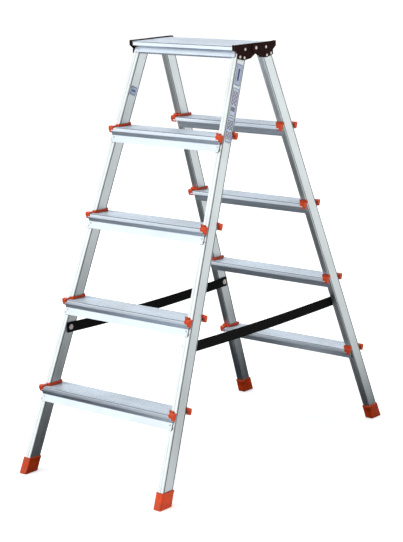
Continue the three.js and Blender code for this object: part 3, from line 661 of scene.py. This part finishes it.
def turned(name, profile, place, towards, steps=32):
    """A turned piece from (distance along its axis, radius) pairs; towards is the axis."""
    frame_turn = towards.to_track_quat("Z", "Y").to_matrix()
    points, faces, rings = [], [], []
    for along, radius in profile:
        if radius < 1e-7:
            rings.append([len(points)])
            points.append(place + frame_turn @ Vector((0, 0, along)))
            continue
        rings.append(list(range(len(points), len(points) + steps)))
        for step in range(steps):
            angle = 2 * math.pi * step / steps
            spot = Vector((radius * math.cos(angle), radius * math.sin(angle), along))
            points.append(place + frame_turn @ spot)
    for lower, upper in zip(rings, rings[1:]):
        for step in range(steps):
            after = (step + 1) % steps
            corners = [lower[step % len(lower)], lower[after % len(lower)],
                       upper[after % len(upper)], upper[step % len(upper)]]
            faces.append(tuple(dict.fromkeys(corners)))
    return points, faces


def joined(name, parts):
    """One piece from several (points, faces) parts."""
    points, faces = [], []
    for some_points, some_faces in parts:
        start = len(points)
        points += some_points
        faces += [tuple(start + corner for corner in face) for face in some_faces]
    made = piece_of(name, points, faces)
    facing_out(made)
    return made


def arc(middle, radius, start, end, steps):
    """(along, radius) points of a round stretch of a turned profile, angles in degrees."""
    angles = [math.radians(start + (end - start) * step / steps) for step in range(steps + 1)]
    return [(middle[0] + radius * math.sin(angle), middle[1] + radius * math.cos(angle)) for angle in angles]


def domed_head(radius, height, rim=0.35):
    """Profile of a rivet head standing on along = 0: a short rim, a round shoulder and a shallow crown."""
    crown = [
        (height * (rim + (1 - rim) * math.sin(angle)), radius * math.cos(angle))
        for angle in (math.radians(90 * step / 7) for step in range(8))
    ]
    crown[-1] = (height, 0.0)
    return [(0.0, radius * 0.96), (height * rim * 0.5, radius)] + crown


class Stile:
    """Where one stile lies: its middle line, its directions and its section."""

    def __init__(self, frame_name, side):
        corners = [corner.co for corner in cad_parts[f"{frame_name}_stile_{side}"].data.vertices]
        low = min(corner.z for corner in corners)
        high = max(corner.z for corner in corners)
        foot = self.centre([corner for corner in corners if corner.z < low + 0.5 * MM])
        head = self.centre([corner for corner in corners if corner.z > high - 0.5 * MM])
        self.foot = foot
        self.along = (head - foot).normalized()
        self.outward = Vector((0, -1 if frame_name == "front" else 1, 0))
        self.facing = (self.outward - self.along * self.outward.dot(self.along)).normalized()
        away = 1 if side == "right" else -1
        self.aside = self.along.cross(self.facing).normalized()
        if self.aside.x * away < 0:
            self.aside.negate()
        reach = [(corner - foot).dot(self.aside) for corner in corners]
        depth = [(corner - foot).dot(self.facing) for corner in corners]
        self.half_width = (max(reach) - min(reach)) / 2
        self.half_depth = (max(depth) - min(depth)) / 2

    @staticmethod
    def centre(corners):
        """The middle of the box round some corners."""
        spans = [(min(c[axis] for c in corners), max(c[axis] for c in corners)) for axis in range(3)]
        return Vector([(low + high) / 2 for low, high in spans])

    def at(self, height):
        """The point of the middle line at this height above the floor."""
        return self.foot + self.along * ((height - self.foot.z) / self.along.z)


# ---- Pieces -----------------------------------------------------------------------------------------
def build_stiles(context):
    """Four drawn box tubes."""
    for frame_name in FRAMES:
        for side in SIDES:
            node_name = f"{frame_name}_stile_{side}"
            made = refined(node_name, context.scene.ladder_sizes.stile_edge)
            made.name = f"{node_name}_tube"
            stile = Stile(frame_name, side)
            settle(made, stile_metal(context), stile.along, stile.foot, facing=stile.facing)
            join_frame(made, "stile", body_name(frame_name), node_name)


def build_treads(context):
    """Eight ribbed treads and the two halves of the platform."""
    for frame_name in FRAMES:
        names = [f"{frame_name}_tread_{number}" for number in TREADS] + [f"{frame_name}_platform"]
        for node_name in names:
            made = refined(node_name, context.scene.ladder_sizes.tread_edge)
            made.name = f"{node_name}_board"
            crest = max(corner.co.z for corner in made.data.vertices)
            settle(made, tread_metal(context), ACROSS, Vector((0, 0, crest)))
            join_frame(made, "tread", body_name(frame_name), node_name)


def build_caps(context):
    """The plastic cap on each end of each tread."""
    for frame_name in FRAMES:
        for number in TREADS:
            for side in SIDES:
                node_name = f"{frame_name}_tread_{number}_cap_{side}"
                made = refined(node_name, context.scene.ladder_sizes.cap_edge, 3)
                made.name = f"{node_name}_moulding"
                settle(made, cap_plastic(context), UP)
                join_frame(made, "plastic", body_name(frame_name), node_name)


def rounded_ring(half_width, half_depth, radius, steps=5):
    """Corner points of a rounded rectangle, as (across, deep) pairs."""
    ring = []
    for quarter, (wide, deep) in enumerate(((1, 1), (-1, 1), (-1, -1), (1, -1))):
        for step in range(steps + 1):
            angle = math.pi / 2 * (quarter + step / steps)
            ring.append((
                wide * (half_width - radius) + radius * math.cos(angle),
                deep * (half_depth - radius) + radius * math.sin(angle),
            ))
    return ring


def shoe_rings(wall, rib):
    """Rings of a shoe from the floor up and over its rim: (share of its height, growth, corner radius)."""
    rings = [(0.0, wall - 1.1 * MM, 3.0 * MM), (0.015, wall - 0.3 * MM, 3.4 * MM)]
    start = 0.03
    for number in range(3):
        low = start + number * rib
        rings += [
            (low, wall, 3.6 * MM), (low + rib * 0.62, wall, 3.6 * MM),
            (low + rib * 0.72, wall - 0.7 * MM, 3.1 * MM), (low + rib * 0.92, wall - 0.7 * MM, 3.1 * MM),
        ]
    top = start + 3 * rib
    return rings + [
        (top, wall - 0.15 * MM, 3.5 * MM), (0.5, wall - 0.3 * MM, 3.3 * MM), (0.84, wall - 0.5 * MM, 3.0 * MM),
        (0.86, wall + 0.1 * MM, 3.5 * MM), (0.97, wall + 0.1 * MM, 3.5 * MM), (1.0, wall - 0.7 * MM, 2.9 * MM),
        (1.0, 0.5 * MM, 2.0 * MM), (0.9, 0.35 * MM, 1.9 * MM),
    ]


def build_shoes(context):
    """A ribbed plastic shoe on the foot of each stile."""
    sizes = context.scene.ladder_sizes
    for frame_name in FRAMES:
        for side in SIDES:
            node_name = f"{frame_name}_foot_{side}"
            stile = Stile(frame_name, side)
            low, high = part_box(node_name)
            height = (high.z - low.z) / stile.along.z
            points, faces = [], []
            rings = shoe_rings(sizes.shoe_wall, sizes.shoe_rib / height)
            count = 0
            for share, grown, radius in rings:
                ring = rounded_ring(stile.half_width + grown, stile.half_depth + grown, radius)
                count = len(ring)
                for across, deep in ring:
                    spot = stile.foot + stile.aside * across + stile.facing * deep
                    spot -= stile.along * (spot.z / stile.along.z)
                    level = (height - (spot - stile.foot).dot(stile.along) + 5 * MM) * share
                    points.append(spot + stile.along * min(level, height * 1.1))
            for ring in range(len(rings) - 1):
                for step in range(count):
                    after = (step + 1) % count
                    faces.append((ring * count + step, ring * count + after,
                                  (ring + 1) * count + after, (ring + 1) * count + step))
            faces.append(tuple(reversed(range(count))))
            faces.append(tuple(range((len(rings) - 1) * count, len(rings) * count)))
            made = piece_of(f"{node_name}_shoe", points, faces)
            facing_out(made)
            settle(made, cap_plastic(context), stile.along, sharp=math.radians(50))
            join_frame(made, "plastic", body_name(frame_name), node_name)


def build_hinge_plates(context):
    """The four coated hinge plates."""
    for frame_name in FRAMES:
        for side in SIDES:
            node_name = f"{frame_name}_hinge_plate_{side}"
            made = refined(node_name, context.scene.ladder_sizes.plate_edge)
            made.name = f"{node_name}_steel"
            settle(made, hinge_coat(context), UP)
            join_frame(made, "hinge", body_name(frame_name), node_name)


def build_hinge_fasteners(context):
    """Domed rivets of the hinge plates and the two pivots, each turned about its own axis."""
    for node_name in sorted(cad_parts):
        is_pivot = node_name.startswith("hinge_pivot_")
        if not is_pivot and "_hinge_rivet_" not in node_name:
            continue
        low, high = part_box(node_name)
        side = 1 if (low.x + high.x) > 0 else -1
        outer, inner = (high.x, low.x) if side > 0 else (-low.x, -high.x)
        radius = (high.y - low.y) / 2
        head = 2.6 * MM if is_pivot else 1.8 * MM
        shank = 4 * MM if is_pivot else 2.4 * MM
        tail = 5.2 * MM if is_pivot else 3.5 * MM
        start = outer - head
        profile = [
            (inner, 0.0), (inner, tail * 0.8), (inner + 0.5 * MM, tail), (inner + 1.7 * MM, tail * 0.96),
            (inner + 2.0 * MM, shank), (start, shank),
        ] + [(start + along, ring) for along, ring in domed_head(radius, head)]
        if is_pivot:
            # A shallow dimple in the middle of the pivot's head.
            profile = profile[:-1] + [(outer - 0.1 * MM, 1.9 * MM), (outer - 0.5 * MM, 1.2 * MM), (outer - 0.6 * MM, 0.0)]
        place = Vector((0, (low.y + high.y) / 2, (low.z + high.z) / 2))
        made = joined(f"{node_name}_turned", [turned(node_name, profile, place, ACROSS * side)])
        settle(made, rivet_steel(context), ACROSS, sharp=math.radians(40))
        join_frame(made, "rivet", body_name(frame_of(node_name)), node_name)


def strap_height(along, reach, height, sag):
    """Height of a strap's middle line at this distance from the ladder's middle."""
    share = min(1.0, abs(along) / reach)
    return height - sag * (1 - share * share)


def build_straps(context):
    """The woven strap on each side, from stile to stile."""
    cord = context.scene.ladder_sizes.webbing_cord
    for side in SIDES:
        node_name = f"strap_{side}"
        low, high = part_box(node_name)
        rivet_low, rivet_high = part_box(f"rear_strap_rivet_{side}")
        reach = (rivet_low.y + rivet_high.y) / 2
        height = (rivet_low.z + rivet_high.z) / 2
        sag = (7.5 if side == "left" else 4.5) * MM
        half_width = 15 * MM
        half_thick = (high.x - low.x) / 2
        middle_x = (low.x + high.x) / 2
        cords = round(2 * half_width / cord)
        steps_across = cords * 5
        section = []
        for turn in (1, -1):
            for step in range(steps_across + 1):
                across = turn * (half_width - 2 * half_width * step / steps_across)
                swell = abs(math.sin(math.pi * cords * (across / half_width + 1) / 2))
                selvedge = max(0.0, (abs(across) - half_width + 1.5 * MM) / (1.5 * MM))
                thick = (half_thick - 0.16 * MM + 0.16 * MM * swell) * math.sqrt(max(0.02, 1 - selvedge ** 2))
                section.append((turn * thick, across))
        count = len(section)
        end = high.y
        steps = 150
        points, faces = [], []
        for step in range(steps + 1):
            along = -end + 2 * end * step / steps
            near_end = max(0.0, 1 - (end - abs(along)) / (1.2 * MM))
            melt = 1 - 0.25 * near_end
            ripple = 0.35 * MM * math.sin(along * 23.0) * (1 - (along / end) ** 2)
            for thick, across in section:
                slope = strap_height(along + MM, reach, height, sag) - strap_height(along - MM, reach, height, sag)
                lean = math.atan(slope / (2 * MM))
                spot = Vector((middle_x + thick * melt + ripple,
                               along - across * math.sin(lean),
                               strap_height(along, reach, height, sag) + across * math.cos(lean)))
                points.append(spot)
        for step in range(steps):
            for number in range(count):
                after = (number + 1) % count
                faces.append((step * count + number, step * count + after,
                              (step + 1) * count + after, (step + 1) * count + number))
        faces.append(tuple(reversed(range(count))))
        faces.append(tuple(range(steps * count, (steps + 1) * count)))
        made = piece_of(f"{node_name}_webbing", points, faces)
        facing_out(made)
        settle(made, strap_webbing(context), Vector((0, 1, 0)), Vector((middle_x, 0, height)), math.radians(60))
        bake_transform(made)
        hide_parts(node_name)


def build_strap_rivets(context):
    """A domed rivet over a dished washer at each end of each strap."""
    for frame_name in FRAMES:
        for side in SIDES:
            node_name = f"{frame_name}_strap_rivet_{side}"
            low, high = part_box(node_name)
            place = Vector((0, (low.y + high.y) / 2, (low.z + high.z) / 2))
            towards = 1 if side == "left" else -1
            head = high.x if towards > 0 else -low.x
            tail = low.x if towards > 0 else -high.x
            washer = (high.y - low.y) / 2
            start = head - 1.8 * MM
            profile = [
                (tail, 0.0), (tail, 2.6 * MM), (tail + 0.6 * MM, 3.5 * MM), (tail + 2.2 * MM, 3.4 * MM),
                (tail + 2.5 * MM, 2.4 * MM), (start - 1.2 * MM, 2.4 * MM), (start - 1.2 * MM, washer - 0.3 * MM),
                (start - 0.9 * MM, washer), (start - 0.3 * MM, washer), (start, washer - 0.35 * MM),
                (start + 0.1 * MM, washer - 1.6 * MM), (start - 0.25 * MM, 4.7 * MM), (start - 0.25 * MM, 4.3 * MM),
            ] + [(start + along, ring) for along, ring in domed_head(4.2 * MM, 1.8 * MM)]
            made = joined(f"{node_name}_turned", [turned(node_name, profile, place, ACROSS * towards, 40)])
            settle(made, rivet_steel(context), ACROSS, sharp=math.radians(40))
            join_frame(made, "rivet", body_name(frame_name), node_name)


RIVET_ROWS = ((-3.2, 28.5), (3.2, 36.0))  # (outwards from the stile's middle, below the tread's top), in mm
REAR_RIVET_ROWS = ((-3.2, 19.0), (3.2, 27.0))


def skirt_foot(node_name, outward, outer):
    """The lower edge of a tread's skirt on its outer or inner side, as a point of the skirt's shown face."""
    corners = [corner.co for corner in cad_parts[node_name].data.vertices]
    ordered = sorted(corner.dot(outward) for corner in corners)
    middle = (ordered[0] + ordered[-1]) / 2
    near = [corner for corner in corners if (corner.dot(outward) > middle) == outer]
    lowest = min(corner.z for corner in near)
    edge = [corner for corner in near if corner.z < lowest + 0.2 * MM]
    return max(edge, key=lambda corner: corner.dot(outward) * (1 if outer else -1))


def build_tread_rivets(context):
    """Two small rivets through each end of each tread's two skirts, and one at each end of a platform's."""
    sizes = context.scene.ladder_sizes
    head = domed_head(sizes.tread_rivet, sizes.tread_rivet_head)
    profile = [(-0.6 * MM, 0.0), (-0.6 * MM, sizes.tread_rivet * 0.6)] + head
    for frame_name in FRAMES:
        stiles = {side: Stile(frame_name, side) for side in SIDES}
        outward = stiles["right"].outward
        for base in [f"{frame_name}_tread_{number}" for number in TREADS] + [f"{frame_name}_platform"]:
            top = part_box(base)[1].z
            is_platform = base.endswith("platform")
            parts = []
            for outer in (True, False):
                if is_platform and not outer:
                    continue
                rows = ((0.0, 17.0),) if is_platform else (RIVET_ROWS if outer else REAR_RIVET_ROWS)
                foot = skirt_foot(base, outward, outer)
                for stile in stiles.values():
                    rising = Vector((0, stile.along.y, stile.along.z)).normalized()
                    normal = Vector((0, stile.facing.y, stile.facing.z)).normalized() * (1 if outer else -1)
                    if is_platform:
                        foot = stile.at(top - 20 * MM) + normal * (stile.half_depth + 2.5 * MM)
                    for aside, drop in rows:
                        height = top - drop * MM
                        spot = foot + rising * ((height - foot.z) / rising.z)
                        spot.x = stile.at(height).x + math.copysign(aside * MM, stile.aside.x) * (1 if aside > 0 else 1)
                        if aside < 0:
                            spot.x = stile.at(height).x - math.copysign(-aside * MM, stile.aside.x)
                        parts.append(turned(base, profile, spot, normal, 20))
            made = joined(f"{base}_rivets", parts)
            settle(made, rivet_steel(context), ACROSS, sharp=math.radians(40))
            join_frame(made, "rivet", body_name(frame_name))


def plate_on(stile, side_sign, bottom, top, half_depth, thickness, corner):
    """Points and faces of a thin rounded plate that lies on a stile's side face."""
    low, high = stile.at(bottom), stile.at(top)
    half_height = (high - low).length / 2
    middle = (low + high) / 2 + stile.aside * side_sign * stile.half_width
    ring = rounded_ring(half_depth, half_height, corner, 4)
    layers = ((0.02 * MM, 0.0), (thickness * 0.7, 0.0), (thickness, -0.08 * MM))
    points, faces = [], []
    for lift, grown in layers:
        for deep, along in ring:
            spot = middle + stile.facing * (deep + math.copysign(grown, deep))
            spot += stile.along * (along + math.copysign(grown, along)) + stile.aside * side_sign * lift
            points.append(spot)
    count = len(ring)
    for layer in range(len(layers) - 1):
        for step in range(count):
            after = (step + 1) % count
            faces.append((layer * count + step, layer * count + after,
                          (layer + 1) * count + after, (layer + 1) * count + step))
    faces.append(tuple(range(count)))
    faces.append(tuple(range((len(layers) - 1) * count, len(layers) * count)))
    return points, faces, middle


OUTLINE_INK = (0.10, 0.16, 0.42)
NAVY = (0.03, 0.05, 0.22)
VIOLET = (0.36, 0.27, 0.36)
SLATE = (0.24, 0.25, 0.30)
# Labels: name, side, which face of the stile, height of the lower and upper edge, half depth, and fields as
# (middle from the label's middle, half length, half width, ink, whether it is hatched), all in mm.
LABELS = (
    ("round_label", "right", 1, 1090, 1147, 12.5, 1.0, ((0.0, 17.0, 3.4, NAVY, False),)),
    ("guide_label", "right", 1, 940, 1084, 13.0, 1.25, (
        (48.0, 20.0, 10.0, VIOLET, True), (17.0, 6.0, 8.5, SLATE, False), (-1.0, 1.2, 9.0, SLATE, False),
        (-8.0, 1.2, 9.0, SLATE, False), (-28.0, 14.0, 10.0, SLATE, True), (-57.0, 11.0, 10.0, VIOLET, True),
    )),
    ("size_label", "left", -1, 1046, 1070, 12.0, 1.0, ((0.0, 3.0, 7.0, OUTLINE_INK, False),)),
)


def build_labels(context):
    """Plain printed labels on the front stiles, with plain fields in place of any words."""
    thickness = context.scene.ladder_sizes.label_thickness
    for name, side, side_sign, bottom, top, half_depth, paleness, fields in LABELS:
        stile = Stile("front", side)
        points, faces, middle = plate_on(
            stile, side_sign, bottom * MM, top * MM, half_depth * MM, thickness, 2.5 * MM
        )
        made = piece_of(f"front_stile_{side}_{name}", points, faces)
        facing_out(made)
        inked = [(spot * MM, half * MM, width * MM, ink, hatched) for spot, half, width, ink, hatched in fields]
        half_length = (top - bottom) * MM / 2 / stile.along.z
        tint = scaled(context.scene.ladder_colours.label, paleness)
        paint = label_print(name, tint, inked, half_length, half_depth * MM)
        settle(made, paint, stile.along, middle)
        join_frame(made, "plastic", "front_frame")


# ---- Stage ------------------------------------------------------------------------------------------
def add_light(name, place, target, size, power, tint):
    data = bpy.data.lights.new(name, "AREA")
    data.shape = "RECTANGLE"
    data.size, data.size_y = size
    data.energy = power
    data.color = tint
    lamp = bpy.data.objects.new(name, data)
    bpy.context.scene.collection.objects.link(lamp)
    lamp.location = place
    lamp.rotation_euler = (Vector(target) - Vector(place)).to_track_quat("-Z", "Y").to_euler()
    lamp.visible_camera = False
    return lamp


def build_stage(context):
    """Floor, lights, sky and camera."""
    stage = context.scene.ladder_stage
    half = 40.0
    floor = piece_of("studio_floor", [(-half, -half, 0), (half, -half, 0), (half, half, 0), (-half, half, 0)],
                     [(0, 1, 2, 3)])
    floor.location.z = -0.2 * MM
    floor.data.materials.append(studio_floor(context))
    world = bpy.data.worlds.new("studio")
    context.scene.world = world
    world.use_nodes = True
    sky_tree = world.node_tree
    background = sky_tree.nodes["Background"]
    background.inputs["Color"].default_value = (0.93, 0.965, 1.0, 1.0)
    seen = add(sky_tree, "ShaderNodeLightPath").outputs["Is Camera Ray"]
    sky_tree.links.new(spread(sky_tree, seen, 0.0, 1.0, 0.34, 1.08), background.inputs["Strength"])
    middle = (0, 0, 0.6)
    add_light("key_light", (-3.2, -4.1, 2.2), middle, (3.8, 4.6), stage.key_power, (1.0, 0.99, 0.97))
    add_light("top_light", (-0.8, 1.2, 4.2), middle, (3.0, 3.0), stage.top_power, (0.96, 0.98, 1.0))
    add_light("back_panel", (-4.2, 4.6, 1.9), middle, (4.0, 2.2), 45.0, (0.93, 0.97, 1.0))
    add_light("side_panel", (4.6, 3.4, 1.5), middle, (4.5, 2.6), 34.0, (0.98, 1.0, 0.99))
    sky = bpy.data.lights.new("even_light", "SUN")
    sky.energy = 1.0
    sky.angle = math.radians(60)
    lamp = bpy.data.objects.new("even_light", sky)
    context.scene.collection.objects.link(lamp)
    lamp.rotation_euler = (math.radians(18), math.radians(-14), 0)
    view = bpy.data.cameras.new("camera")
    view.lens = stage.lens
    view.sensor_width = 36.0
    view.shift_x = 0.0046
    view.shift_y = 0.043
    view.clip_end = 200.0
    camera = bpy.data.objects.new("camera", view)
    context.scene.collection.objects.link(camera)
    turn = Matrix.Rotation(stage.camera_turn, 4, "Z")
    dip = Matrix.Rotation(math.pi / 2 - stage.camera_dip, 4, "X")
    roll = Matrix.Rotation(stage.camera_roll, 4, "Z")
    camera.matrix_world = Matrix.Translation(stage.camera_place) @ turn @ dip @ roll
    context.scene.camera = camera
    context.scene.view_settings.view_transform = "Standard"


# ---- Operators --------------------------------------------------------------------------------------
class LADDER_OT_stiles(bpy.types.Operator):
    """Build the four drawn aluminium stiles"""

    bl_idname = "ladder.stiles"
    bl_label = "Stiles"

    def execute(self, context):
        build_stiles(context)
        return {"FINISHED"}


class LADDER_OT_treads(bpy.types.Operator):
    """Build the ribbed treads and the two halves of the platform"""

    bl_idname = "ladder.treads"
    bl_label = "Treads and platform"

    def execute(self, context):
        build_treads(context)
        return {"FINISHED"}


class LADDER_OT_caps(bpy.types.Operator):
    """Build the plastic caps on the ends of the treads"""

    bl_idname = "ladder.caps"
    bl_label = "Tread end caps"

    def execute(self, context):
        build_caps(context)
        return {"FINISHED"}


class LADDER_OT_shoes(bpy.types.Operator):
    """Build the ribbed plastic shoes"""

    bl_idname = "ladder.shoes"
    bl_label = "Shoes"

    def execute(self, context):
        build_shoes(context)
        return {"FINISHED"}


class LADDER_OT_hinge_plates(bpy.types.Operator):
    """Build the coated hinge plates"""

    bl_idname = "ladder.hinge_plates"
    bl_label = "Hinge plates"

    def execute(self, context):
        build_hinge_plates(context)
        return {"FINISHED"}


class LADDER_OT_hinge_fasteners(bpy.types.Operator):
    """Build the hinge plates' rivets and the two pivots"""

    bl_idname = "ladder.hinge_fasteners"
    bl_label = "Hinge rivets and pivots"

    def execute(self, context):
        build_hinge_fasteners(context)
        return {"FINISHED"}


class LADDER_OT_straps(bpy.types.Operator):
    """Build the woven straps between the two frames"""

    bl_idname = "ladder.straps"
    bl_label = "Straps"

    def execute(self, context):
        build_straps(context)
        return {"FINISHED"}


class LADDER_OT_strap_rivets(bpy.types.Operator):
    """Build the rivets and washers that hold the straps"""

    bl_idname = "ladder.strap_rivets"
    bl_label = "Strap rivets"

    def execute(self, context):
        build_strap_rivets(context)
        return {"FINISHED"}


class LADDER_OT_tread_rivets(bpy.types.Operator):
    """Build the small rivets in the treads' skirts"""

    bl_idname = "ladder.tread_rivets"
    bl_label = "Tread rivets"

    def execute(self, context):
        build_tread_rivets(context)
        return {"FINISHED"}


class LADDER_OT_labels(bpy.types.Operator):
    """Build the plain labels on the front stiles"""

    bl_idname = "ladder.labels"
    bl_label = "Labels"

    def execute(self, context):
        build_labels(context)
        return {"FINISHED"}


class LADDER_OT_stage(bpy.types.Operator):
    """Build the floor, the lights and the camera"""

    bl_idname = "ladder.stage"
    bl_label = "Stage"

    def execute(self, context):
        build_stage(context)
        return {"FINISHED"}


OPERATORS = (
    LADDER_OT_stiles, LADDER_OT_treads, LADDER_OT_caps, LADDER_OT_shoes, LADDER_OT_hinge_plates,
    LADDER_OT_hinge_fasteners, LADDER_OT_straps, LADDER_OT_strap_rivets, LADDER_OT_tread_rivets,
    LADDER_OT_labels, LADDER_OT_stage,
)


class LADDER_PT_panel(bpy.types.Panel):
    """The ladder's sizes, colours and building steps"""

    bl_idname = "LADDER_PT_panel"
    bl_label = "Step ladder"
    bl_space_type = "VIEW_3D"
    bl_region_type = "UI"
    bl_category = "Step ladder"

    def draw(self, context):
        for group in (context.scene.ladder_sizes, context.scene.ladder_colours, context.scene.ladder_stage):
            section = self.layout.box()
            for key in group.__annotations__:
                section.prop(group, key)
        steps = self.layout.column(align=True)
        for operator in OPERATORS:
            steps.operator(operator.bl_idname)


SETTINGS = {"ladder_sizes": LadderSizes, "ladder_colours": LadderColours, "ladder_stage": LadderStage}
CLASSES = (*SETTINGS.values(), *OPERATORS, LADDER_PT_panel)


def register():
    for some_class in CLASSES:
        bpy.utils.register_class(some_class)
    for name, group in SETTINGS.items():
        setattr(bpy.types.Scene, name, bpy.props.PointerProperty(type=group))


def unregister():
    for name in SETTINGS:
        delattr(bpy.types.Scene, name)
    for some_class in reversed(CLASSES):
        bpy.utils.unregister_class(some_class)


def main():
    register()
    for operator in OPERATORS:
        family, step = operator.bl_idname.split(".")
        getattr(getattr(bpy.ops, family), step)()


if __name__ == "__main__":
    main()
